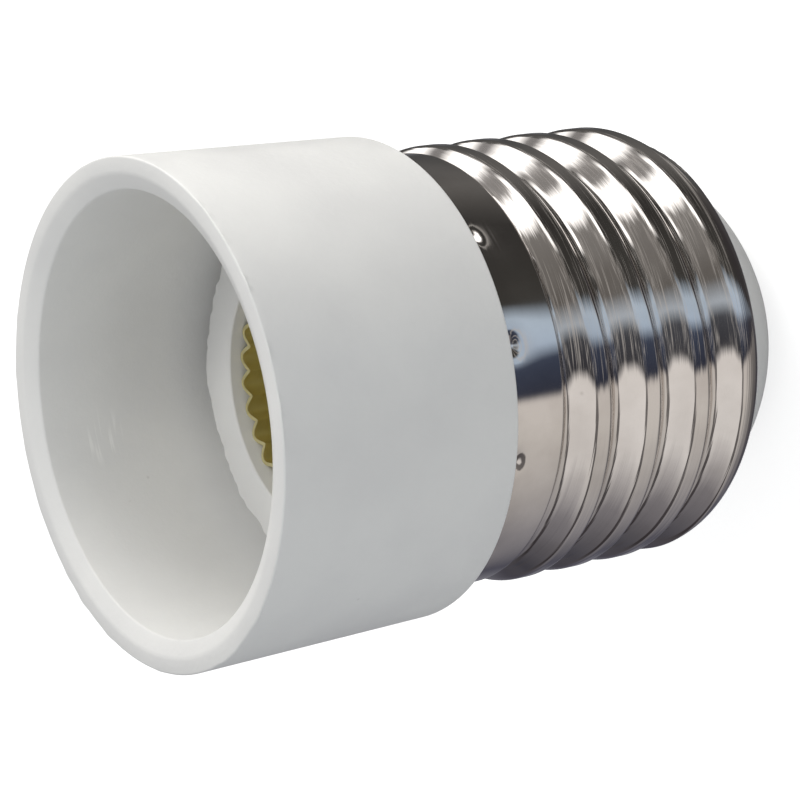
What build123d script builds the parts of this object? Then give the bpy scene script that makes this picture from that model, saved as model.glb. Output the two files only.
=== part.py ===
"""Lamp socket adapter: E27 screw cap below, E14 screw socket above. Millimetres, +Z towards the lamp."""
from build123d import *
from math import ceil, sqrt
import os

# Heights, stacked up from the centre contact's face at Z = 0
contact_thickness = 1.0
dome_height = 5.0
shell_length = 18.8
skirt_height = 15.5

# White moulded body
mouth_radius = 14.45
skirt_back_radius = 14.1
skirt_edge = 0.35
rim_width = 1.9
lip_width = 0.95
lip_depth = 0.5
cup_depth = 13.2
cup_draft = 0.3
barrel_setback = 10.75
barrel_wall = 2.2
collar_height = 2.3
neck_flange_height = 3.0
neck_clearance = 0.15
dome_seat_radius = 7.8
floor_thickness = 3.8
well_depth = 8.7
well_radius = 5.6

# E27 shell, rolled from sheet: sizes of its outer face, steps in from the crest
e27_pitch = 3.629
e27_crest_radius = 13.1
e27_thread_depth = 1.05
e27_groove_opening = 2.2
e27_groove_floor = 0.9
e27_sheet = 0.3
e27_crest_angle = -45
band_step = 0.35
band_height = 3.6
shell_end_step = 0.9
shell_end_height = 1.0

# Where a rolled thread runs into the plain rings at its ends
seam_step = 0.05
seam_overlap = 0.1

# E14 shell, rolled from sheet: sizes of its inner face
e14_pitch = 2.822
e14_minor_radius = 6.2
e14_thread_depth = 0.85
e14_groove_opening = 1.9
e14_groove_floor = 0.8
e14_sheet = 0.3
e14_rim_setback = 0.8
e14_lead_height = 3.5
e14_foot_height = 1.0
e14_crest_angle = 0
bore_clearance = 0.2
flute_count = 30
flute_angle = 4
flute_depth = 0.3
flute_height = 2.2
tab_angle = 24
tab_drop = 4.0
tab_clearance = 0.05
slot_height = 1.0
slot_angle = 32

# Lamp contact leaf
leaf_sheet = 0.4
leaf_width = 4.0
leaf_foot_reach = 3.2
leaf_bend_reach = 4.4
leaf_nose_reach = 2.2
leaf_nose_drop = 0.8
leaf_tip_drop = 1.6
leaf_bend_radius = 0.8

# Centre contact rivet
contact_radius = 4.6
contact_edge = 0.3
shank_radius = 1.5
shank_clearance = 0.05
clench_radius = 2.4
clench_height = 0.7

# Levels and radii worked out from the sizes above
dome_tip_z = contact_thickness
shell_end_z = dome_tip_z + dome_height
skirt_back_z = shell_end_z + shell_length
mouth_z = skirt_back_z + skirt_height
cup_floor_z = mouth_z - cup_depth
barrel_z = mouth_z - barrel_setback
floor_z = dome_tip_z + floor_thickness
ledge_z = floor_z + well_depth
band_z = skirt_back_z - band_height
collar_z = skirt_back_z - collar_height
flange_z = shell_end_z + neck_flange_height
e14_rim_z = barrel_z - e14_rim_setback
flute_z = e14_rim_z - flute_height
lead_z = flute_z - e14_lead_height
rim_inner_radius = mouth_radius - rim_width
e27_root_radius = e27_crest_radius - e27_thread_depth
e27_inner_radius = e27_root_radius - e27_sheet
band_radius = e27_crest_radius - band_step
band_inner_radius = band_radius - e27_sheet
shell_end_radius = e27_crest_radius - shell_end_step
neck_radius = e27_inner_radius - neck_clearance
dome_centre_z = ((neck_radius**2 - dome_seat_radius**2) / dome_height + shell_end_z + dome_tip_z) / 2
dome_radius = sqrt(neck_radius**2 + (dome_centre_z - shell_end_z) ** 2)
e14_major_radius = e14_minor_radius + e14_thread_depth
e14_outer_radius = e14_major_radius + e14_sheet
flute_radius = e14_outer_radius + flute_depth + bore_clearance / 4
bore_radius = flute_radius + bore_clearance
barrel_radius = bore_radius + barrel_wall
shank_hole_radius = shank_radius + shank_clearance

os.makedirs("parts", exist_ok=True)


def axial_plane(angle):
    """Plane through the adapter's axis, turned from the X axis by the angle, for radius and height sketches."""
    return Plane((0, 0, 0), Vector(1, 0, 0).rotate(Axis.Z, angle), Vector(0, -1, 0).rotate(Axis.Z, angle))


def wave_section(crest, root, sheet, pitch, opening, floor, low_z, count):
    """Section of a rolled thread through its axis: up the outer face and back down the inner one."""
    slope = (opening - floor) / (crest - root)
    inner_crest = pitch - opening + sheet * slope - sheet * sqrt(4 + slope**2)
    inner_opening = inner_crest + (crest - root) * slope
    outer = []
    inner = []
    for turn in range(count):
        crest_z = low_z + (turn + 0.5) * pitch
        for radius, half_width in ((root, (floor - pitch) / 2), (crest, (opening - pitch) / 2)):
            outer.append((radius, crest_z + half_width))
        for radius, half_width in ((crest, (pitch - opening) / 2), (root, (pitch - floor) / 2)):
            outer.append((radius, crest_z + half_width))
        for radius, half_width in ((root, -inner_opening / 2), (crest, -inner_crest / 2)):
            inner.append((radius - sheet, crest_z + half_width))
        for radius, half_width in ((crest, inner_crest / 2), (root, inner_opening / 2)):
            inner.append((radius - sheet, crest_z + half_width))
    top_z = low_z + count * pitch
    return [(root - sheet, low_z), (root, low_z), *outer, (root, top_z), (root - sheet, top_z), *reversed(inner)]


def rolled_thread(crest, root, sheet, pitch, opening, floor, bottom_z, top_z, crest_angle):
    """Right-hand thread rolled from sheet, trimmed flat; a crest's middle is at bottom_z and crest_angle."""
    count = ceil((top_z - bottom_z) / pitch) + 2
    with BuildPart() as half_turn:
        with BuildLine():
            Helix(pitch=pitch, height=pitch / 2, radius=root)
        with BuildSketch(Plane.XZ):
            with BuildLine():
                Polyline(
                    *wave_section(crest, root, sheet, pitch, opening, floor, bottom_z - 1.5 * pitch, count),
                    close=True,
                )
            make_face()
        sweep(is_frenet=True)
    with BuildPart() as thread:
        with Locations(
            Location((0, 0, 0), (0, 0, crest_angle)),
            Location((0, 0, pitch / 2), (0, 0, crest_angle + 180)),
        ):
            add(half_turn.part)
        with Locations((0, 0, bottom_z)):
            Cylinder(
                2 * crest,
                top_z - bottom_z,
                align=(Align.CENTER, Align.CENTER, Align.MIN),
                mode=Mode.INTERSECT,
            )
    return thread.part


# Rolled screw shell of the E27 cap: smooth band against the skirt, thread, turned-in end
with BuildPart() as e27_shell:
    add(
        rolled_thread(
            e27_crest_radius,
            e27_root_radius,
            e27_sheet,
            e27_pitch,
            e27_groove_opening,
            e27_groove_floor,
            shell_end_z + shell_end_height,
            band_z,
            e27_crest_angle,
        )
    )
    with BuildSketch(Plane.XZ):
        with BuildLine():
            Polyline(
                (e27_inner_radius + seam_step, band_z - seam_overlap),
                (band_radius, band_z - seam_overlap),
                (band_radius, skirt_back_z),
                (band_inner_radius, skirt_back_z),
                (band_inner_radius, band_z + 2 * e27_sheet),
                (e27_inner_radius + seam_step, band_z + e27_sheet),
                close=True,
            )
        make_face()
    revolve(axis=Axis.Z)
    with BuildSketch(Plane.XZ):
        with BuildLine():
            Polyline(
                (e27_inner_radius + seam_step, shell_end_z),
                (shell_end_radius, shell_end_z),
                (e27_crest_radius - seam_step, shell_end_z + shell_end_height),
                (e27_crest_radius - seam_step, shell_end_z + shell_end_height + seam_overlap),
                (e27_inner_radius + seam_step, shell_end_z + shell_end_height + seam_overlap),
                close=True,
            )
        make_face()
    revolve(axis=Axis.Z)

# Brass screw shell of the E14 socket: fluted rim, rolled thread, foot ring on the ledge
with BuildPart() as e14_shell:
    add(
        rolled_thread(
            e14_outer_radius,
            e14_minor_radius + e14_sheet,
            e14_sheet,
            e14_pitch,
            e14_groove_opening,
            e14_groove_floor,
            ledge_z + e14_foot_height,
            lead_z,
            e14_crest_angle,
        )
    )
    with BuildSketch(Plane.XZ):
        with BuildLine():
            Polyline(
                (e14_major_radius + seam_step, lead_z - seam_overlap),
                (e14_outer_radius - seam_step, lead_z - seam_overlap),
                (e14_outer_radius - seam_step, flute_z - e14_sheet),
                (flute_radius, flute_z - e14_sheet),
                (flute_radius, flute_z),
                (e14_major_radius + seam_step, flute_z),
                close=True,
            )
        make_face()
    revolve(axis=Axis.Z)
    with BuildSketch(Plane.XZ):
        with BuildLine():
            Polyline(
                (e14_minor_radius + seam_step, ledge_z),
                (e14_outer_radius - seam_step, ledge_z),
                (e14_outer_radius - seam_step, ledge_z + e14_foot_height + seam_overlap),
                (e14_minor_radius + seam_step, ledge_z + e14_foot_height + seam_overlap),
                close=True,
            )
        make_face()
    revolve(axis=Axis.Z)
    with BuildSketch(Plane.XY.offset(flute_z)):
        for tip_radius, flute_mode in ((flute_radius, Mode.ADD), (flute_radius - e14_sheet, Mode.SUBTRACT)):
            with BuildLine():
                Polyline(
                    *[
                        Vector(tip_radius - flute_depth * (corner % 2), 0).rotate(
                            Axis.Z, flute_angle + corner * 180 / flute_count
                        )
                        for corner in range(2 * flute_count)
                    ],
                    close=True,
                )
            make_face(mode=flute_mode)
    extrude(amount=flute_height)
    with BuildSketch(axial_plane(-tab_angle / 2)):
        with BuildLine():
            Polyline(
                (e14_minor_radius + e14_sheet, ledge_z),
                (e27_inner_radius - tab_clearance - e14_sheet, ledge_z),
                (e27_inner_radius - tab_clearance - e14_sheet, ledge_z - tab_drop),
                (e27_inner_radius - tab_clearance, ledge_z - tab_drop),
                (e27_inner_radius - tab_clearance, ledge_z + e14_sheet),
                (e14_minor_radius + e14_sheet, ledge_z + e14_sheet),
                close=True,
            )
        make_face()
    revolve(axis=Axis.Z, revolution_arc=tab_angle)

# White moulding: skirt and cup, socket barrel, neck inside the screw shell, dome under it
with BuildPart() as skirt_body:
    with BuildSketch(Plane.XZ):
        with BuildLine():
            Polyline(
                (dome_seat_radius, dome_tip_z),
                (shank_hole_radius, dome_tip_z),
                (shank_hole_radius, floor_z),
                (well_radius, floor_z),
                (well_radius, ledge_z),
                (bore_radius, ledge_z),
                (bore_radius, barrel_z),
                (barrel_radius, barrel_z),
                (barrel_radius, cup_floor_z),
                (rim_inner_radius - cup_draft, cup_floor_z),
                (rim_inner_radius, mouth_z - lip_depth),
                (rim_inner_radius + lip_width, mouth_z),
                (mouth_radius - skirt_edge, mouth_z),
                (mouth_radius, mouth_z - skirt_edge),
                (skirt_back_radius, skirt_back_z + skirt_edge),
                (skirt_back_radius - skirt_edge, skirt_back_z),
                (band_inner_radius - neck_clearance, skirt_back_z),
                (band_inner_radius - neck_clearance, collar_z),
                (barrel_radius, collar_z),
                (barrel_radius, flange_z),
                (neck_radius, flange_z),
                (neck_radius, shell_end_z),
            )
            RadiusArc((neck_radius, shell_end_z), (dome_seat_radius, dome_tip_z), dome_radius)
        make_face()
    revolve(axis=Axis.Z)
    with BuildSketch(axial_plane(-slot_angle / 2)):
        with BuildLine():
            Polyline(
                (well_radius + e14_sheet, ledge_z),
                (barrel_radius + e14_sheet, ledge_z),
                (barrel_radius + e14_sheet, ledge_z + slot_height),
                (well_radius + e14_sheet, ledge_z + slot_height),
                close=True,
            )
        make_face()
    revolve(axis=Axis.Z, revolution_arc=slot_angle, mode=Mode.SUBTRACT)

# Spring leaf under the lamp's centre contact, riveted to the floor of the well
leaf_foot_z = floor_z + leaf_sheet / 2
leaf_nose_z = ledge_z - leaf_nose_drop - leaf_sheet / 2
with BuildPart() as contact_leaf:
    with BuildSketch(Plane.XZ):
        with BuildLine():
            FilletPolyline(
                (leaf_foot_reach, leaf_foot_z),
                (-leaf_bend_reach, leaf_foot_z),
                (-leaf_nose_reach, leaf_nose_z),
                (leaf_nose_reach, leaf_nose_z),
                (leaf_foot_reach, leaf_nose_z - leaf_tip_drop),
                radius=leaf_bend_radius,
            )
        trace(line_width=leaf_sheet)
    extrude(amount=leaf_width / 2, both=True)
    with Locations((0, 0, floor_z)):
        Cylinder(
            shank_hole_radius,
            leaf_sheet,
            align=(Align.CENTER, Align.CENTER, Align.MIN),
            mode=Mode.SUBTRACT,
        )

# Rivet: centre contact of the cap outside, clenched over the leaf inside
clench_z = floor_z + leaf_sheet
with BuildPart() as centre_rivet:
    with BuildSketch(Plane.XZ):
        with BuildLine():
            Polyline(
                (0, 0),
                (contact_radius - contact_edge, 0),
                (contact_radius, contact_edge),
                (contact_radius, contact_thickness),
                (shank_radius, contact_thickness),
                (shank_radius, clench_z),
                (clench_radius, clench_z),
                (shank_radius, clench_z + clench_height),
                (0, clench_z + clench_height),
                close=True,
            )
        make_face()
    revolve(axis=Axis.Z)

pieces = {
    "skirt_body": skirt_body,
    "e27_shell": e27_shell,
    "e14_shell": e14_shell,
    "contact_leaf": contact_leaf,
    "centre_rivet": centre_rivet,
}
for piece_name, piece in pieces.items():
    piece.part.label = piece_name
    export_step(piece.part, f"parts/{piece_name}.step")
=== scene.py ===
import math
import bpy
import numpy as np
from mathutils import Matrix, Vector, noise


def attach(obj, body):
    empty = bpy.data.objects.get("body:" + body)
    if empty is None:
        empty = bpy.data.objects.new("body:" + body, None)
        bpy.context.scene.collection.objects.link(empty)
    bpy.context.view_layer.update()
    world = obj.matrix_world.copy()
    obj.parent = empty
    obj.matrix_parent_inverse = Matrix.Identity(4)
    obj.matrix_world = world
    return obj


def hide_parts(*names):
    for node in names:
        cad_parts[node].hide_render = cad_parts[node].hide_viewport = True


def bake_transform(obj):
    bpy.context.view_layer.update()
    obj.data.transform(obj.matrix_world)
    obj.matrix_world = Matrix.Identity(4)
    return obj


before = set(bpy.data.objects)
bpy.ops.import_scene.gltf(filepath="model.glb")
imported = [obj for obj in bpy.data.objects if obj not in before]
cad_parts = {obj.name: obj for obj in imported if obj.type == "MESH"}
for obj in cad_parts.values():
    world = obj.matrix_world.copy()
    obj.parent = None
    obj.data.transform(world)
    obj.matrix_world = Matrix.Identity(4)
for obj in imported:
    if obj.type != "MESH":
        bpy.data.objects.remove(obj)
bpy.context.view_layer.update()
bpy.context.scene.view_settings.view_transform = "Standard"
mm = 0.001
weldReach = 2e-6  # metres: points nearer to each other than this become one
planeReach = 1e-7  # metres: a point nearer to a cutting plane than this lies on it
flashReach = 1e-5  # metres: how near to the flash's tip its points are picked
rimReach = 0.0005  # mm: how near to a rim's height its points are picked
print("frame loaded:", sorted(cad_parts))


def freshStart():
    if bpy.context.object and bpy.context.object.mode != "OBJECT":
        bpy.ops.object.mode_set(mode="OBJECT")
    bpy.ops.object.select_all(action="DESELECT")


def makeActive(piece):
    freshStart()
    piece.select_set(True)
    bpy.context.view_layer.objects.active = piece


def editAll():
    bpy.ops.object.mode_set(mode="EDIT")
    bpy.ops.mesh.select_mode(type="VERT")
    bpy.ops.mesh.select_all(action="SELECT")


# Nothing selected and back in object mode, where code can select by place
def selectNone(kind="VERT"):
    editAll()
    bpy.ops.mesh.select_mode(type=kind)
    bpy.ops.mesh.select_all(action="DESELECT")
    bpy.ops.object.mode_set(mode="OBJECT")


# Selects the vertices where the test holds, and leaves the piece in edit mode
def selectWhere(piece, test):
    selectNone()
    for vertex in piece.data.vertices:
        vertex.select = test(vertex.co / mm)
    bpy.ops.object.mode_set(mode="EDIT")


def extrude(move):
    bpy.ops.mesh.extrude_region_move(TRANSFORM_OT_translate={"value": move})


def applyModifier(piece, kind, **settings):
    modifier = piece.modifiers.new(kind.lower(), kind)
    for name, value in settings.items():
        setattr(modifier, name, value)
    bpy.ops.object.modifier_apply(modifier=modifier.name)


def smoothByAngle(piece, degrees):
    makeActive(piece)
    bpy.ops.object.shade_smooth_by_angle(angle=math.radians(degrees))


def readPoints(piece):
    points = np.zeros(len(piece.data.vertices) * 3)
    piece.data.vertices.foreach_get("co", points)
    return points.reshape(-1, 3)


def writePoints(piece, points):
    piece.data.vertices.foreach_set("co", points.astype(np.float32).ravel())
    piece.data.update()


# 0 at low, 1 at high and a soft curve between them; low may be the larger one
def ease(low, high, value):
    share = np.clip((value - low) / (high - low), 0.0, 1.0)
    return share * share * (3 - 2 * share)


# Noise round the axis: rate is how fast it changes, layer which noise it is
def ringNoise(point, rate, layer):
    angle = math.atan2(point[1], point[0])
    return noise.noise(Vector((rate * math.cos(angle), rate * math.sin(angle), layer)))


# An outline in the XZ plane: one vertex, extruded from point to point (radius and height in mm)
def drawOutline(name, outline):
    freshStart()
    bpy.ops.mesh.primitive_plane_add(size=mm)
    piece = bpy.context.object
    piece.name = piece.data.name = name
    editAll()
    bpy.ops.mesh.merge(type="CENTER")
    here = Vector((outline[0][0], 0, outline[0][1])) * mm
    bpy.ops.transform.translate(value=here)
    for corner in outline[1:]:
        there = Vector((corner[0], 0, corner[1])) * mm
        extrude(there - here)
        here = there
    bpy.ops.object.mode_set(mode="OBJECT")
    return piece


# Rounds the corners that have a third number, its size in mm
def roundCorners(piece, outline, segments=4):
    for corner in outline:
        if len(corner) < 3:
            continue
        place = Vector((corner[0], 0, corner[1])) * mm
        selectNone()
        nearest = min(piece.data.vertices, key=lambda vertex: (vertex.co - place).length)
        nearest.select = True
        bpy.ops.object.mode_set(mode="EDIT")
        bpy.ops.mesh.bevel(affect="VERTICES", offset=corner[2] * mm, segments=segments, profile=0.5)
        bpy.ops.object.mode_set(mode="OBJECT")


def spinRound(piece, steps):
    editAll()
    bpy.ops.mesh.spin(steps=steps, angle=2 * math.pi, center=(0, 0, 0), axis=(0, 0, 1))
    bpy.ops.mesh.select_all(action="SELECT")
    bpy.ops.mesh.remove_doubles(threshold=weldReach)
    bpy.ops.mesh.normals_make_consistent(inside=False)
    bpy.ops.object.mode_set(mode="OBJECT")


# Sweeps one turn's outline up a screw and trims it to length
def rollThread(name, outline, shell, bottom, top):
    piece = drawOutline(name, outline)
    applyModifier(
        piece,
        "SCREW",
        angle=2 * math.pi,
        screw_offset=shell["pitch"] * mm,
        iterations=shell["turns"],
        steps=shell["steps"],
        render_steps=shell["steps"],
        use_smooth_shade=True,
    )
    editAll()
    bpy.ops.mesh.remove_doubles(threshold=weldReach)
    for level, side in ((top, "clear_outer"), (bottom, "clear_inner")):
        bpy.ops.mesh.select_all(action="SELECT")
        place = (0, 0, level * mm)
        bpy.ops.mesh.bisect(threshold=planeReach, plane_co=place, plane_no=(0, 0, 1), **{side: True})
    bpy.ops.object.mode_set(mode="OBJECT")
    return piece


# A block across the XZ plane, in mm
def addBlock(left, right, half, bottom, top):
    freshStart()
    bpy.ops.mesh.primitive_cube_add(
        size=1,
        location=((left + right) / 2 * mm, 0, (bottom + top) / 2 * mm),
        scale=((right - left) * mm, 2 * half * mm, (top - bottom) * mm),
    )
    return bpy.context.object


def cutAway(piece, cutter):
    makeActive(piece)
    applyModifier(piece, "BOOLEAN", operation="DIFFERENCE", object=cutter, solver="EXACT")
    bpy.data.objects.remove(cutter)


def newMaterial(name):
    material = bpy.data.materials.new(name)
    material.use_nodes = True
    nodes = material.node_tree.nodes
    return material, nodes, material.node_tree.links, nodes["Principled BSDF"]


def addNode(nodes, kind, **settings):
    node = nodes.new(kind)
    for name, value in settings.items():
        if name in node.inputs:
            node.inputs[name].default_value = value
        else:
            setattr(node, name, value)
    return node


def objectNoise(nodes, links, scale, detail, stretch=(1, 1, 1)):
    place = addNode(nodes, "ShaderNodeTexCoord")
    mapping = addNode(nodes, "ShaderNodeMapping", Scale=stretch)
    links.new(place.outputs["Object"], mapping.inputs["Vector"])
    grain = addNode(nodes, "ShaderNodeTexNoise", Scale=scale, Detail=detail)
    links.new(mapping.outputs["Vector"], grain.inputs["Vector"])
    return grain.outputs["Fac"]


# Stops are places from 0 to 1, each with a colour, or with one number for a grey
def ramp(nodes, links, source, stops):
    steps = addNode(nodes, "ShaderNodeValToRGB")
    band = steps.color_ramp
    while len(band.elements) < len(stops):
        band.elements.new(0.5)
    for element, (place, colour) in zip(band.elements, stops):
        element.position = place
        element.color = (*colour, 1.0) if isinstance(colour, tuple) else (colour, colour, colour, 1.0)
    links.new(source, steps.inputs["Fac"])
    return steps.outputs["Color"]


def mapRange(nodes, links, source, start, stop, low=0.0, high=1.0):
    span = addNode(nodes, "ShaderNodeMapRange")
    for name, value in (("From Min", start), ("From Max", stop), ("To Min", low), ("To Max", high)):
        span.inputs[name].default_value = value
    links.new(source, span.inputs["Value"])
    return span.outputs["Result"]


def times(nodes, links, first, second):
    product = addNode(nodes, "ShaderNodeMath", operation="MULTIPLY")
    links.new(first, product.inputs[0])
    links.new(second, product.inputs[1])
    return product.outputs["Value"]


# Lays a colour, or another node's colours, over those under it; the node has hidden sockets of the same names
def mixColour(nodes, links, factor, under, over):
    mix = addNode(nodes, "ShaderNodeMix", data_type="RGBA")
    ports = {port.identifier: port for port in mix.inputs}
    links.new(factor, ports["Factor_Float"])
    links.new(under, ports["A_Color"])
    if isinstance(over, tuple):
        ports["B_Color"].default_value = (*over, 1.0)
    else:
        links.new(over, ports["B_Color"])
    return next(port for port in mix.outputs if port.identifier == "Result_Color")


# Small spots, kept to the patches that a broad noise leaves
def spotMask(nodes, links, spots):
    place = addNode(nodes, "ShaderNodeTexCoord")
    cells = addNode(nodes, "ShaderNodeTexVoronoi", Scale=spots["scale"])
    links.new(place.outputs["Object"], cells.inputs["Vector"])
    middle = ramp(nodes, links, cells.outputs["Distance"], [(0.0, 1.0), (spots["size"], 0.0)])
    patches = ramp(nodes, links, objectNoise(nodes, links, spots["patchScale"], 1.0), spots["patches"])
    return times(nodes, links, middle, patches)


def addBump(nodes, links, shader, height, strength, depth):
    bump = addNode(nodes, "ShaderNodeBump", Strength=strength, Distance=depth)
    links.new(height, bump.inputs["Height"])
    links.new(bump.outputs["Normal"], shader.inputs["Normal"])


shot = {
    "place": (144.81, -1.48, 121.49),
    "right": (0.5540, -0.1695, -0.8151),
    "up": (0.0953, 0.9856, -0.1402),
    "lens": 135.0,
    "sensor": 36.0,
    "clip": (0.01, 20.0),
}


def setCamera():
    freshStart()
    bpy.ops.object.camera_add()
    camera = bpy.context.object
    camera.name = "photoCamera"
    right = Vector(shot["right"]).normalized()
    back = right.cross(Vector(shot["up"])).normalized()
    turn = Matrix((right, back.cross(right), back)).transposed().to_4x4()
    turn.translation = Vector(shot["place"]) * mm
    camera.matrix_world = turn
    camera.data.lens = shot["lens"]
    camera.data.sensor_width = shot["sensor"]
    camera.data.clip_start, camera.data.clip_end = shot["clip"]
    bpy.context.scene.camera = camera


setCamera()
print("camera set")

whiteFinish = {
    "cloudScale": 160.0,
    "tint": [(0.35, (0.765, 0.765, 0.755)), (0.62, (0.80, 0.80, 0.785))],  # in the clouds' dark and light
    "roughness": [(0.3, 0.37), (0.7, 0.48)],
    "speck": (0.45, 0.44, 0.42),
    "specks": {"scale": 420.0, "size": 0.055, "patchScale": 95.0, "patches": [(0.62, 0.0), (0.70, 0.55)]},
    "scuff": (0.87, 0.87, 0.855),
    "scuffPlace": (-0.01245, -0.00065, 0.0360),  # on the cup wall, where a lamp has rubbed
    "scuffReach": (0.0019, 0.00095),  # metres from there at which the strokes start and are full
    "strokeScale": 300.0,
    "strokeStretch": (1, 1, 12),
    "strokes": [(0.56, 0.0), (0.66, 1.0)],
    "grainScale": 2600.0,
    "grainStrength": 0.28,
    "grainDepth": 0.00006,
    "ior": 1.49,
}


def whiteMaterial():
    material, nodes, links, shader = newMaterial("whiteMoulding")
    clouds = objectNoise(nodes, links, whiteFinish["cloudScale"], 4.0)
    colour = ramp(nodes, links, clouds, whiteFinish["tint"])
    specks = spotMask(nodes, links, whiteFinish["specks"])
    colour = mixColour(nodes, links, specks, colour, whiteFinish["speck"])
    place = addNode(nodes, "ShaderNodeTexCoord")
    away = addNode(nodes, "ShaderNodeVectorMath", operation="DISTANCE")
    away.inputs[1].default_value = whiteFinish["scuffPlace"]
    links.new(place.outputs["Object"], away.inputs[0])
    near = mapRange(nodes, links, away.outputs["Value"], *whiteFinish["scuffReach"])
    strokes = objectNoise(nodes, links, whiteFinish["strokeScale"], 1.0, whiteFinish["strokeStretch"])
    rubbed = times(nodes, links, near, ramp(nodes, links, strokes, whiteFinish["strokes"]))
    colour = mixColour(nodes, links, rubbed, colour, whiteFinish["scuff"])
    links.new(colour, shader.inputs["Base Color"])
    links.new(ramp(nodes, links, clouds, whiteFinish["roughness"]), shader.inputs["Roughness"])
    grain = objectNoise(nodes, links, whiteFinish["grainScale"], 2.0)
    addBump(nodes, links, shader, grain, whiteFinish["grainStrength"], whiteFinish["grainDepth"])
    shader.inputs["IOR"].default_value = whiteFinish["ior"]
    return material


# What all the metals share; each has its own colours, roughness and strength of the rolling tool's lines
metalGrain = {
    "cloudScale": 240.0,
    "pits": {"scale": 620.0, "size": 0.10, "patchScale": 130.0, "patches": [(0.56, 0.0), (0.68, 0.8)]},
    "lineScale": 75.0,
    "lineStretch": (1, 1, 55),
    "lineFade": 0.0004,
    "lineRest": 0.12,  # what is left of the lines on a plain band
    "lineDepth": 0.00003,
}
nickelFinish = {
    "tint": [(0.35, (0.60, 0.565, 0.535)), (0.60, (0.70, 0.665, 0.635))],
    "pit": (0.22, 0.20, 0.18),
    "roughness": [(0.3, 0.05), (0.7, 0.11)],
    "lines": 0.80,
    "plainFrom": 0.0205,  # metres: the plain band starts above the thread
}
brassFinish = {
    "tint": [(0.35, (0.85, 0.76, 0.37)), (0.60, (0.95, 0.87, 0.50))],
    "pit": (0.34, 0.26, 0.09),
    "roughness": [(0.3, 0.30), (0.7, 0.44)],
    "lines": 0.20,
    "plainFrom": 1.0,  # out of reach, so there is no plain band
}
leafFinish = {
    "tint": [(0.35, (0.64, 0.49, 0.20)), (0.60, (0.76, 0.60, 0.28))],
    "pit": (0.32, 0.22, 0.09),
    "roughness": [(0.3, 0.22), (0.7, 0.32)],
    "lines": 0.10,
    "plainFrom": 1.0,
}
rivetFinish = {
    "tint": [(0.35, (0.56, 0.53, 0.50)), (0.60, (0.68, 0.65, 0.62))],
    "pit": (0.20, 0.18, 0.17),
    "roughness": [(0.3, 0.16), (0.7, 0.28)],
    "lines": 0.10,
    "plainFrom": 1.0,
}


def metalMaterial(name, finish):
    material, nodes, links, shader = newMaterial(name)
    shader.inputs["Metallic"].default_value = 1.0
    clouds = objectNoise(nodes, links, metalGrain["cloudScale"], 4.0)
    colour = ramp(nodes, links, clouds, finish["tint"])
    pits = spotMask(nodes, links, metalGrain["pits"])
    colour = mixColour(nodes, links, pits, colour, finish["pit"])
    links.new(colour, shader.inputs["Base Color"])
    links.new(ramp(nodes, links, clouds, finish["roughness"]), shader.inputs["Roughness"])
    rolled = objectNoise(nodes, links, metalGrain["lineScale"], 3.0, metalGrain["lineStretch"])
    place = addNode(nodes, "ShaderNodeTexCoord")
    split = addNode(nodes, "ShaderNodeSeparateXYZ")
    links.new(place.outputs["Object"], split.inputs["Vector"])
    bandStart = finish["plainFrom"]
    threadEnd = bandStart - metalGrain["lineFade"]
    onThread = mapRange(nodes, links, split.outputs["Z"], bandStart, threadEnd, metalGrain["lineRest"])
    height = times(nodes, links, rolled, onThread)
    addBump(nodes, links, shader, height, finish["lines"], metalGrain["lineDepth"])
    return material


white = whiteMaterial()
nickel = metalMaterial("nickelPlate", nickelFinish)
brass = metalMaterial("rolledBrass", brassFinish)
leafBrass = metalMaterial("springBrass", leafFinish)
rivetNickel = metalMaterial("rivetNickel", rivetFinish)
print("materials made")


def finishPiece(piece, material, body, node):
    piece.data.materials.clear()
    piece.data.materials.append(material)
    if body:
        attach(piece, body)
    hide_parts(node)


skirt = {
    "inside": [  # radius and height up to the barrel's top; a third number rounds the corner
        (7.8, 1.0, 0.5),
        (1.55, 1.0),
        (1.55, 4.8),
        (5.6, 4.8),
        (5.6, 13.5),
        (7.9, 13.5),
        (7.9, 29.55, 0.15),
        (10.02, 29.55),
    ],
    "flash": (10.38, 29.50),  # tip of the thin flash left at the parting edge
    "outside": [  # cup, rim, skirt wall and neck, down to the dome
        (10.1, 29.34),
        (10.1, 27.1, 0.35),
        (12.25, 27.1, 0.5),
        (12.55, 39.8, 0.12),
        (13.5, 40.3, 0.16),  # lead-in bevel round the mouth
        (14.45, 40.3, 0.12),
        (14.44, 39.85),  # two rows that keep the burr off the wall below
        (14.432, 39.5),
        (14.1, 24.8, 0.2),
        (12.3, 24.8),
        (12.3, 22.5),
        (10.1, 22.5),
        (10.1, 9.0),
        (11.6, 9.0),
        (11.6, 6.0),
    ],
    "domeSteps": 10,
    "domeBulge": 0.39,
    "steps": 288,
    "flashSwell": 0.24,
    "flashWaves": (3, 0.7),  # rate and layer of the noise
    "flashTeeth": (19, 2.3),
    "teethShare": 0.8,
    "burr": 0.20,
    "burrWaves": (9, 5.1),
    "burrPower": 1.5,
    "burrEdge": (14.3, 40.2),  # radius and height past which the rim's outer edge is torn
    "slot": (5.9, 10.5, 2.5, 13.5, 14.5),  # for the socket's tab: left, right, half width, bottom, top
    "smooth": 32,
}


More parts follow.
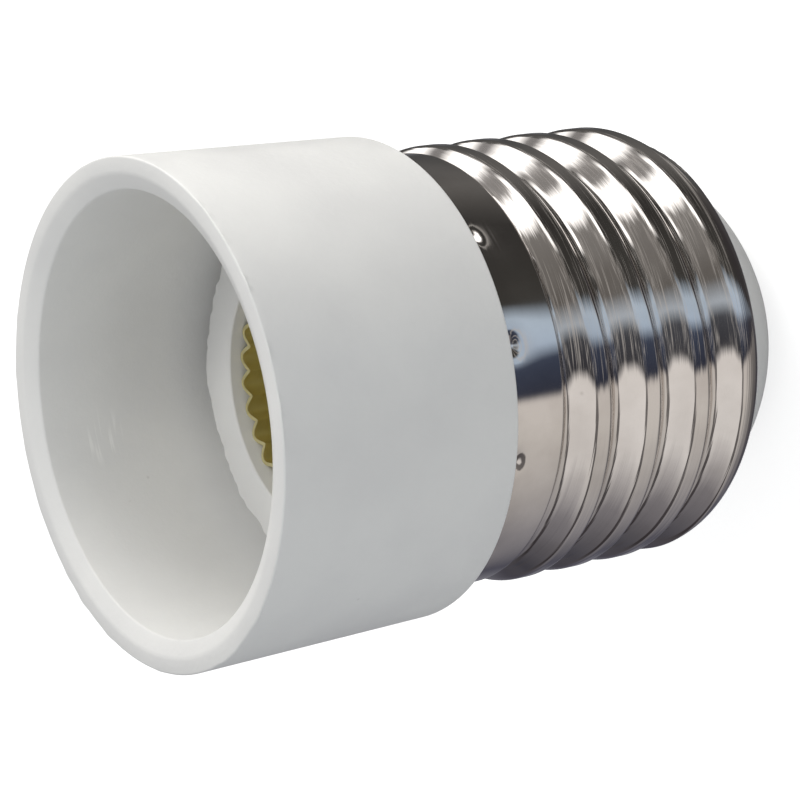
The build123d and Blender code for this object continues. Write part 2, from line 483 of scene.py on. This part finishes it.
def makeSkirt():
    seat, shoulder = Vector(skirt["inside"][0][:2]), Vector(skirt["outside"][-1])
    chord = seat - shoulder
    outward = Vector((-chord.y, chord.x)).normalized()
    dome = []
    for step in range(1, skirt["domeSteps"]):
        share = step / skirt["domeSteps"]
        rise = skirt["domeBulge"] * (1 - (2 * share - 1) ** 2)
        point = shoulder + chord * share + outward * rise
        dome.append((point.x, point.y))
    outline = [*skirt["inside"], skirt["flash"], *skirt["outside"], *dome]
    piece = drawOutline("skirtBody", [*outline, outline[0]])
    roundCorners(piece, outline)
    spinRound(piece, skirt["steps"])
    points = readPoints(piece)
    radius = np.hypot(points[:, 0], points[:, 1])
    tip, level = skirt["flash"]
    onTip = (abs(points[:, 2] - level * mm) < flashReach) & (abs(radius - tip * mm) < flashReach)
    for index in np.where(onTip)[0]:
        ragged = ringNoise(points[index], *skirt["flashWaves"])
        fine = ringNoise(points[index], *skirt["flashTeeth"])
        swell = skirt["flashSwell"] * (ragged + skirt["teethShare"] * fine)
        points[index, :2] *= (tip + swell) * mm / radius[index]
    edgeRadius, edgeHeight = skirt["burrEdge"]
    for index in np.where((points[:, 2] > edgeHeight * mm) & (radius > edgeRadius * mm))[0]:
        torn = max(ringNoise(points[index], *skirt["burrWaves"]), 0.0) ** skirt["burrPower"]
        points[index, :2] *= 1 + skirt["burr"] * mm * torn / radius[index]
    writePoints(piece, points)
    cutAway(piece, addBlock(*skirt["slot"]))
    smoothByAngle(piece, skirt["smooth"])
    finishPiece(piece, white, "adapter", "skirt_body")


makeSkirt()
print("skirt made")

capShell = {
    "pitch": 3.629,
    "turns": 8,  # more than the thread needs; the ends are trimmed off
    "turnsBelow": 2,
    "crest": 13.1,
    "root": 12.15,
    "frontCrest": 7.35,  # height of the lowest crest on the +X side
    "crestsAbove": 3,
    "land": 0.62,  # half the crest's flat land
    "upperFlank": 1.10,
    "lowerFlank": 0.72,
    "rounding": (-0.24, -0.18, -0.12, -0.06, 0.0, 0.06, 0.12, 0.18, 0.24),
    "rows": 48,
    "steps": 240,
    "band": 12.75,
    "bandEdge": 20.75,
    "bandReach": 1.6,  # the band's shape starts this far under the uppermost crest
    "fade": (-180, -90),  # degrees between which the uppermost ridge rises out of the band's edge
    "fadeDrop": 0.5,
    "runOut": (0, 90),  # degrees between which the groove under the lowest crest starts
    "bottom": 6.0,
    "top": 24.8,
    "endRadius": 12.2,
    "endHeight": 1.8,
    "innerWall": [(11.8, 0.0), (11.8, 16.3), (12.4, 0.1), (12.4, 2.4)],  # radius and step up, from the end
    "dents": 12,
    "dentHeight": 23.75,
    "dentTurn": 2.0,
    "dentShape": [(0.26, 0.42), (0.07, 1.5)],  # depth and reach of the punch mark and the hollow round it
    "smooth": 40,
}


# Height of the rolled ridge, 0 to 1, by the distance above its middle
def ridge(offset):
    total = 0.0
    for shift in capShell["rounding"]:  # averaged over a short reach, so every corner is rounded
        rising = (capShell["land"] + capShell["upperFlank"] - offset - shift) / capShell["upperFlank"]
        falling = (capShell["land"] + capShell["lowerFlank"] + offset + shift) / capShell["lowerFlank"]
        total = total + np.clip(np.minimum(rising, falling), 0.0, 1.0)
    return total / len(capShell["rounding"])


# Radius in mm, by degrees round the axis, height and the radius of the endless thread there
def shapeCap(turn, height, wave):
    pitch, crest, root, band = (capShell[name] for name in ("pitch", "crest", "root", "band"))
    firstCrest = capShell["frontCrest"] + capShell["crestsAbove"] * pitch + pitch * turn / 360
    above = height - firstCrest
    fading = 1 - ease(*capShell["fade"], turn)  # past -X the ridge sinks into the band's edge
    edge = capShell["bandEdge"] - capShell["fadeDrop"] * fading
    plain = band + (root - band) * ease(edge, edge - capShell["lowerFlank"], height)
    first = np.maximum(ridge(above), fading * ridge(above - pitch))
    upper = np.maximum(plain, root + (crest - root) * first)
    radius = np.where(above > -capShell["bandReach"], upper, wave)
    lastCrest = capShell["frontCrest"] + pitch * turn / 360
    lower = crest - (crest - wave) * ease(*capShell["runOut"], turn)
    radius = np.where(height < lastCrest - capShell["land"], lower, radius)
    curl = np.clip((capShell["bottom"] + capShell["endHeight"] - height) / capShell["endHeight"], 0, 1)
    curve = capShell["endRadius"] + (crest - capShell["endRadius"]) * np.sqrt(1 - curl**2)
    radius = np.minimum(radius, curve)
    for dent in range(capShell["dents"]):
        away = (turn - capShell["dentTurn"] - 360 * dent / capShell["dents"] + 180) % 360 - 180
        reach = np.hypot(np.radians(away) * band, height - capShell["dentHeight"])
        for depth, spread in capShell["dentShape"]:
            radius -= depth * np.exp(-((reach / spread) ** 2))
    return radius


def makeCapShell():
    pitch, crest, root = capShell["pitch"], capShell["crest"], capShell["root"]
    low = capShell["frontCrest"] - capShell["turnsBelow"] * pitch
    outline = []
    for row in range(capShell["rows"] + 1):
        offset = pitch * (row / capShell["rows"] - 0.5)
        swell = max(ridge(offset), ridge(offset + pitch))  # with the tail of the turn below
        outline.append((root + (crest - root) * float(swell), low + offset))
    piece = rollThread("capShell", outline, capShell, capShell["bottom"], capShell["top"])
    points = readPoints(piece) / mm
    turn = np.degrees(np.arctan2(points[:, 1], points[:, 0]))
    radius = shapeCap(turn, points[:, 2], np.hypot(points[:, 0], points[:, 1]))
    points[:, 0] = radius * np.cos(np.radians(turn))
    points[:, 1] = radius * np.sin(np.radians(turn))
    writePoints(piece, points * mm)
    selectWhere(piece, lambda co: co.z < capShell["bottom"] + rimReach)
    for inner, lift in capShell["innerWall"]:
        extrude((0, 0, lift * mm))
        bpy.ops.object.mode_set(mode="OBJECT")
        for vertex in piece.data.vertices:
            if vertex.select:
                flat = math.hypot(vertex.co.x, vertex.co.y)
                vertex.co.x *= inner * mm / flat
                vertex.co.y *= inner * mm / flat
        bpy.ops.object.mode_set(mode="EDIT")
    selectWhere(piece, lambda co: co.z > capShell["top"] - rimReach)
    bpy.ops.mesh.bridge_edge_loops()
    bpy.ops.mesh.select_all(action="SELECT")
    bpy.ops.mesh.normals_make_consistent(inside=False)
    smoothByAngle(piece, capShell["smooth"])
    finishPiece(piece, nickel, "adapter", "e27_shell")


makeCapShell()
print("cap shell made")

socket = {
    "pitch": 2.822,
    "turns": 8,  # more than the thread needs; the ends are trimmed off
    "turnsBelow": 2,
    "frontRidge": 14.1,  # height of the lowest turn on the +X side
    "minor": 6.2,
    "major": 7.05,
    "knuckle": (0.3, 1.25),  # distance from a turn's middle at which it starts to fall, and has fallen
    "rows": 20,
    "steps": 360,
    "sheet": 0.22,
    "bottom": 13.9,
    "leadBottom": 23.15,
    "leadBlend": 1.0,  # height over which the thread opens out into the lead-in
    "leadGrow": 0.05,
    "leadRise": 2.75,
    "rimRows": [0.2] * 13 + [0.1] * 3,  # short rows for the fluted rim
    "flutes": 30,
    "fluteDepth": 0.52,
    "fluteTurn": 4.0,
    "flutePower": 1.4,
    "fluteGrow": (26.0, 27.2),  # heights between which the flutes deepen
    "dip": 0.20,  # the cut edge dips between the flutes
    "dipGrow": (28.25, 28.85),
    "tabReach": 6.6,
    "tabWall": (11.4, 11.7),  # its foot, bent down along the cap shell
    "tabHalf": 2.1,
    "tabLevel": (13.52, 13.8),
    "tabFoot": 9.5,
    "tabBevel": 0.06,
    "smooth": 40,
}


# A flat strip from under the thread to the cap shell, with its end bent down
def makeTab():
    wallIn, wallOut = socket["tabWall"]
    under, over = socket["tabLevel"]
    tab = addBlock(socket["tabReach"], wallOut, socket["tabHalf"], under, over)
    bpy.ops.object.transform_apply(location=True, rotation=True, scale=True)
    editAll()
    bpy.ops.mesh.bisect(threshold=planeReach, plane_co=(wallIn * mm, 0, 0), plane_no=(1, 0, 0))
    selectNone("FACE")
    for face in tab.data.polygons:
        face.select = face.normal.z < -0.9 and face.center.x > wallIn * mm
    bpy.ops.object.mode_set(mode="EDIT")
    extrude((0, 0, (socket["tabFoot"] - under) * mm))
    bpy.ops.object.mode_set(mode="OBJECT")
    applyModifier(tab, "BEVEL", width=socket["tabBevel"] * mm, segments=2)
    return tab


def makeSocket():
    pitch, minor, major = socket["pitch"], socket["minor"], socket["major"]
    low = socket["frontRidge"] - socket["turnsBelow"] * pitch
    outline = []
    for row in range(socket["rows"] + 1):
        offset = pitch * (row / socket["rows"] - 0.5)
        swell = 1.0 - ease(*socket["knuckle"], abs(offset))
        outline.append((minor + (major - minor) * float(swell), low + offset))
    piece = rollThread("socketShell", outline, socket, socket["bottom"], socket["leadBottom"])
    points = readPoints(piece)
    flat = np.hypot(points[:, 0], points[:, 1]) / mm
    into = ease(socket["leadBottom"] - socket["leadBlend"], socket["leadBottom"], points[:, 2] / mm)
    share = (flat + (major + socket["leadGrow"] - flat) * into) / flat
    points[:, :2] *= share[:, None]
    writePoints(piece, points)
    makeActive(piece)
    selectWhere(piece, lambda co: co.z > socket["leadBottom"] - rimReach)
    for lift in (socket["leadRise"], *socket["rimRows"]):
        extrude((0, 0, lift * mm))
    bpy.ops.object.mode_set(mode="OBJECT")
    points = readPoints(piece)
    turn = np.arctan2(points[:, 1], points[:, 0]) - math.radians(socket["fluteTurn"])
    flute = abs(np.cos(socket["flutes"] / 2 * turn)) ** socket["flutePower"]
    grown = ease(*socket["fluteGrow"], points[:, 2] / mm)
    flat = np.hypot(points[:, 0], points[:, 1]) / mm
    share = (flat + grown * socket["fluteDepth"] * flute) / flat
    points[:, :2] *= share[:, None]
    points[:, 2] -= ease(*socket["dipGrow"], points[:, 2] / mm) * socket["dip"] * (1 - flute) * mm
    writePoints(piece, points)
    editAll()
    bpy.ops.mesh.normals_make_consistent(inside=True)
    bpy.ops.object.mode_set(mode="OBJECT")
    applyModifier(piece, "SOLIDIFY", thickness=socket["sheet"] * mm, offset=-1.0)
    tab = makeTab()
    makeActive(piece)
    tab.select_set(True)
    bpy.ops.object.join()
    smoothByAngle(piece, socket["smooth"])
    finishPiece(piece, brass, "adapter", "e14_shell")


makeSocket()
print("socket made")

leaf = {
    "path": [(3.2, 5.0), (-4.4, 5.0, 0.8), (-2.2, 12.5, 0.7), (2.2, 12.5, 0.6), (3.2, 10.9)],
    "bendSteps": 8,
    "cuts": 3,
    "width": 4.0,
    "strips": 8,
    "sheet": 0.4,
    "hole": 1.55,
    "holeHeight": 5.0,
    "punch": 1.2,
    "bevel": 0.05,
    "bevelAngle": 50,
    "smooth": 40,
}


def makeLeaf():
    piece = drawOutline("contactLeaf", leaf["path"])
    roundCorners(piece, leaf["path"], leaf["bendSteps"])
    editAll()
    bpy.ops.mesh.subdivide(number_cuts=leaf["cuts"])
    bpy.ops.mesh.select_all(action="SELECT")
    bpy.ops.transform.translate(value=(0, -leaf["width"] / 2 * mm, 0))
    for strip in range(leaf["strips"]):
        extrude((0, leaf["width"] / leaf["strips"] * mm, 0))
    bpy.ops.mesh.select_all(action="SELECT")
    bpy.ops.mesh.normals_make_consistent(inside=False)
    bpy.ops.object.mode_set(mode="OBJECT")
    applyModifier(piece, "SOLIDIFY", thickness=leaf["sheet"] * mm, offset=0.0)
    freshStart()
    place = (0, 0, leaf["holeHeight"] * mm)
    bpy.ops.mesh.primitive_cylinder_add(
        vertices=48, radius=leaf["hole"] * mm, depth=leaf["punch"] * mm, location=place
    )
    cutAway(piece, bpy.context.object)
    applyModifier(
        piece,
        "BEVEL",
        width=leaf["bevel"] * mm,
        segments=2,
        limit_method="ANGLE",
        angle_limit=math.radians(leaf["bevelAngle"]),
    )
    smoothByAngle(piece, leaf["smooth"])
    finishPiece(piece, leafBrass, None, "contact_leaf")
    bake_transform(piece)


makeLeaf()
print("contact leaf made")

rivet = {
    "outline": [
        (0, 0),
        (4.6, 0, 0.3),
        (4.6, 1.0),
        (1.5, 1.0),
        (1.5, 5.2),
        (2.4, 5.2, 0.12),  # clenched over the leaf
        (1.5, 5.9, 0.3),
        (0, 5.9),
    ],
    "steps": 128,
    "smooth": 35,
}


def makeRivet():
    piece = drawOutline("centreRivet", rivet["outline"])
    roundCorners(piece, rivet["outline"])
    spinRound(piece, rivet["steps"])
    smoothByAngle(piece, rivet["smooth"])
    finishPiece(piece, rivetNickel, "adapter", "centre_rivet")


makeRivet()
print("rivet made")

stage = {
    "floorSize": 6.0,
    "floorHeight": -0.0001,
    "floorColour": (0.62, 0.62, 0.62),
    "floorRoughness": 0.9,
    "floorGlow": 0.72,
    "air": 0.53,
}


# 1 for rays from the camera and for those that metal or glass sends on
def directRays(nodes, links):
    path = addNode(nodes, "ShaderNodeLightPath")
    seen = path.outputs["Is Camera Ray"]
    for ray in ("Is Glossy Ray", "Is Transmission Ray"):
        either = addNode(nodes, "ShaderNodeMath", operation="MAXIMUM")
        links.new(seen, either.inputs[0])
        links.new(path.outputs[ray], either.inputs[1])
        seen = either.outputs["Value"]
    return seen


def makeFloor():
    freshStart()
    bpy.ops.mesh.primitive_plane_add(size=stage["floorSize"], location=(0, 0, stage["floorHeight"]))
    floor = bpy.context.object
    floor.name = "studioFloor"
    material, nodes, links, shader = newMaterial("studioFloor")
    shader.inputs["Base Color"].default_value = (*stage["floorColour"], 1.0)
    shader.inputs["Roughness"].default_value = stage["floorRoughness"]
    shader.inputs["Specular IOR Level"].default_value = 0.0
    glow = addNode(nodes, "ShaderNodeEmission", Color=(1, 1, 1, 1))
    lift = mapRange(nodes, links, directRays(nodes, links), 0.0, 1.0, 0.0, stage["floorGlow"])
    links.new(lift, glow.inputs["Strength"])
    both = addNode(nodes, "ShaderNodeAddShader")
    links.new(shader.outputs["BSDF"], both.inputs[0])
    links.new(glow.outputs["Emission"], both.inputs[1])
    links.new(both.outputs["Shader"], nodes["Material Output"].inputs["Surface"])
    floor.data.materials.append(material)
    floor.visible_glossy = False  # the metal mirrors the surround below instead


def makeAir():
    world = bpy.data.worlds.new("studioAir")
    bpy.context.scene.world = world
    world.use_nodes = True
    nodes, links = world.node_tree.nodes, world.node_tree.links
    backdrop = nodes["Background"]
    backdrop.inputs["Color"].default_value = (1, 1, 1, 1)
    level = mapRange(nodes, links, directRays(nodes, links), 0.0, 1.0, stage["air"], 1.0)
    links.new(level, backdrop.inputs["Strength"])


# Studio surround of painted reflections: a glowing sphere, no lamp, that only the metal mirrors; degrees go
# round the axis from +X, levels from -1 up to 1
surround = {
    "radius": 0.4,
    "low": [  # degrees and colour
        (-180, (0.30, 0.30, 0.33)),
        (-140, (0.09, 0.09, 0.12)),
        (-105, (0.32, 0.31, 0.33)),
        (-75, (0.55, 0.53, 0.52)),
        (-48, (0.72, 0.69, 0.66)),
        (-26, (0.76, 0.72, 0.69)),
        (-22, (0.04, 0.045, 0.07)),
        (-4, (0.06, 0.075, 0.12)),
        (3, (0.52, 0.64, 0.80)),
        (14, (0.56, 0.68, 0.82)),
        (24, (0.06, 0.058, 0.054)),
        (70, (0.05, 0.048, 0.046)),
        (105, (0.16, 0.155, 0.15)),
        (150, (0.08, 0.08, 0.08)),
        (180, (0.30, 0.30, 0.33)),
    ],
    "high": [
        (-180, (0.25, 0.25, 0.28)),
        (-130, (0.07, 0.07, 0.09)),
        (-95, (0.26, 0.25, 0.27)),
        (-65, (0.86, 0.84, 0.83)),
        (-24, (0.95, 0.92, 0.90)),
        (-18, (0.05, 0.05, 0.06)),
        (-2, (0.08, 0.085, 0.10)),
        (6, (0.55, 0.62, 0.70)),
        (18, (0.16, 0.15, 0.14)),
        (60, (0.30, 0.29, 0.28)),
        (120, (0.34, 0.33, 0.33)),
        (150, (0.12, 0.12, 0.13)),
        (180, (0.25, 0.25, 0.28)),
    ],
    "lowToHigh": [(-0.06, 0.0), (0.06, 1.0)],  # level and share, as in the masks below
    "paintedDarkReflection": (0.05, 0.045, 0.05),  # painted dark reflections of an edge between the two on the -Y side, and of a dark ground
    "edgeUp": [(-0.32, 0.0), (-0.24, 1.0), (-0.02, 1.0), (0.06, 0.0)],
    "edgeRound": [(-150, 0.0), (-120, 1.0), (-25, 0.75), (-15, 0.0)],
    "groundUp": [(-0.92, 0.75), (-0.74, 0.0)],
    "stripeLight": (0.66, 0.64, 0.62),  # painted reflections of bright slats, which the rolled lines break up
    "stripes": [-0.74, -0.44, -0.20, 0.02, 0.34, 0.52, 0.74],
    "stripeHalf": 0.045,
    "stripeRound": [(-24, 0.0), (-14, 0.75), (30, 0.6), (118, 0.75), (126, 0.0)],
    # painted highlights: bright window panes that the thread's crests mirror in place of the lamps
    "paneLight": (2.1, 2.1, 2.1),
    "panes": [  # degrees from and to, levels from and to
        (44, 88, -0.14, 0.22),
        (60, 80, -0.14, 0.72),
        (98, 118, -0.14, 0.50),
        (128, 140, -0.10, 0.25),
    ],
    "paneSoft": (3, 0.04, 0.05),  # soft edge at the sides, below and above
}


def makePaintedReflections():
    freshStart()
    bpy.ops.mesh.primitive_uv_sphere_add(
        segments=64, ring_count=32, radius=surround["radius"], location=(0, 0, 0)
    )
    shell = bpy.context.object
    shell.name = "paintedReflectionSphere"
    shell.visible_camera = False
    shell.visible_diffuse = False
    shell.visible_transmission = False
    shell.visible_shadow = False
    material, nodes, links, _ = newMaterial("paintedReflectionSphere")
    place = addNode(nodes, "ShaderNodeTexCoord")
    sweep = addNode(nodes, "ShaderNodeTexGradient", gradient_type="RADIAL")
    links.new(place.outputs["Object"], sweep.inputs["Vector"])
    split = addNode(nodes, "ShaderNodeSeparateXYZ")
    links.new(place.outputs["Object"], split.inputs["Vector"])
    lift = mapRange(nodes, links, split.outputs["Z"], -surround["radius"], surround["radius"])

    def goRound(stops):
        places = [(degrees / 360 + 0.5, shade) for degrees, shade in stops]
        return ramp(nodes, links, sweep.outputs["Fac"], places)

    def goUp(stops):
        return ramp(nodes, links, lift, [(level / 2 + 0.5, shade) for level, shade in stops])

    def within(up, across):
        return times(nodes, links, goUp(up), goRound(across))

    def layOver(view, mask, light):
        return mixColour(nodes, links, mask, view, light)

    view = layOver(goRound(surround["low"]), goUp(surround["lowToHigh"]), goRound(surround["high"]))
    view = layOver(view, within(surround["edgeUp"], surround["edgeRound"]), surround["paintedDarkReflection"])
    view = layOver(view, goUp(surround["groundUp"]), surround["paintedDarkReflection"])
    half = surround["stripeHalf"]
    slats = []
    for level in surround["stripes"]:
        slats += [(level - half, 0.0), (level, 1.0), (level + half, 0.0)]
    view = layOver(view, within(slats, surround["stripeRound"]), surround["stripeLight"])
    side, foot, head = surround["paneSoft"]
    for left, right, low, high in surround["panes"]:
        tall = [(low - foot, 0.0), (low + foot, 1.0), (high - head, 1.0), (high + head, 0.0)]
        across = [(left - side, 0.0), (left + side, 1.0), (right - side, 1.0), (right + side, 0.0)]
        view = layOver(view, within(tall, across), surround["paneLight"])
    # the sphere glows with its painted reflections, though it is no lamp
    glow = addNode(nodes, "ShaderNodeEmission")
    links.new(view, glow.inputs["Color"])
    links.new(glow.outputs["Emission"], nodes["Material Output"].inputs["Surface"])
    shell.data.materials.append(material)


lamps = {
    "aim": (0, 0, 0.02),
    "keyLamp": {"place": (-0.06, 0.335, 0.09), "size": 0.20, "power": 0.82, "colour": (1.0, 0.98, 0.95)},
    "mouthLamp": {"place": (0.07, 0.21, 0.28), "size": 0.12, "power": 0.31, "colour": (1.0, 0.99, 0.97)},
    "fillLamp": {"place": (0.26, -0.28, 0.12), "size": 0.30, "power": 0.22, "colour": (0.78, 0.89, 1.0)},
}


def addLamp(name):
    freshStart()
    bpy.ops.object.light_add(type="AREA", location=lamps[name]["place"])
    lamp = bpy.context.object
    lamp.name = name
    lamp.data.shape = "SQUARE"
    lamp.data.size = lamps[name]["size"]
    lamp.data.energy = lamps[name]["power"]
    lamp.data.color = lamps[name]["colour"]
    lamp.visible_glossy = False  # the metal mirrors the surround's panes, not the lamps
    lamp.rotation_mode = "QUATERNION"
    beam = Vector(lamps["aim"]) - Vector(lamps[name]["place"])
    lamp.rotation_quaternion = beam.to_track_quat("-Z", "Y")


makeFloor()
makeAir()
makePaintedReflections()
for lampName in ("keyLamp", "mouthLamp", "fillLamp"):
    addLamp(lampName)
print("stage and lamps set")
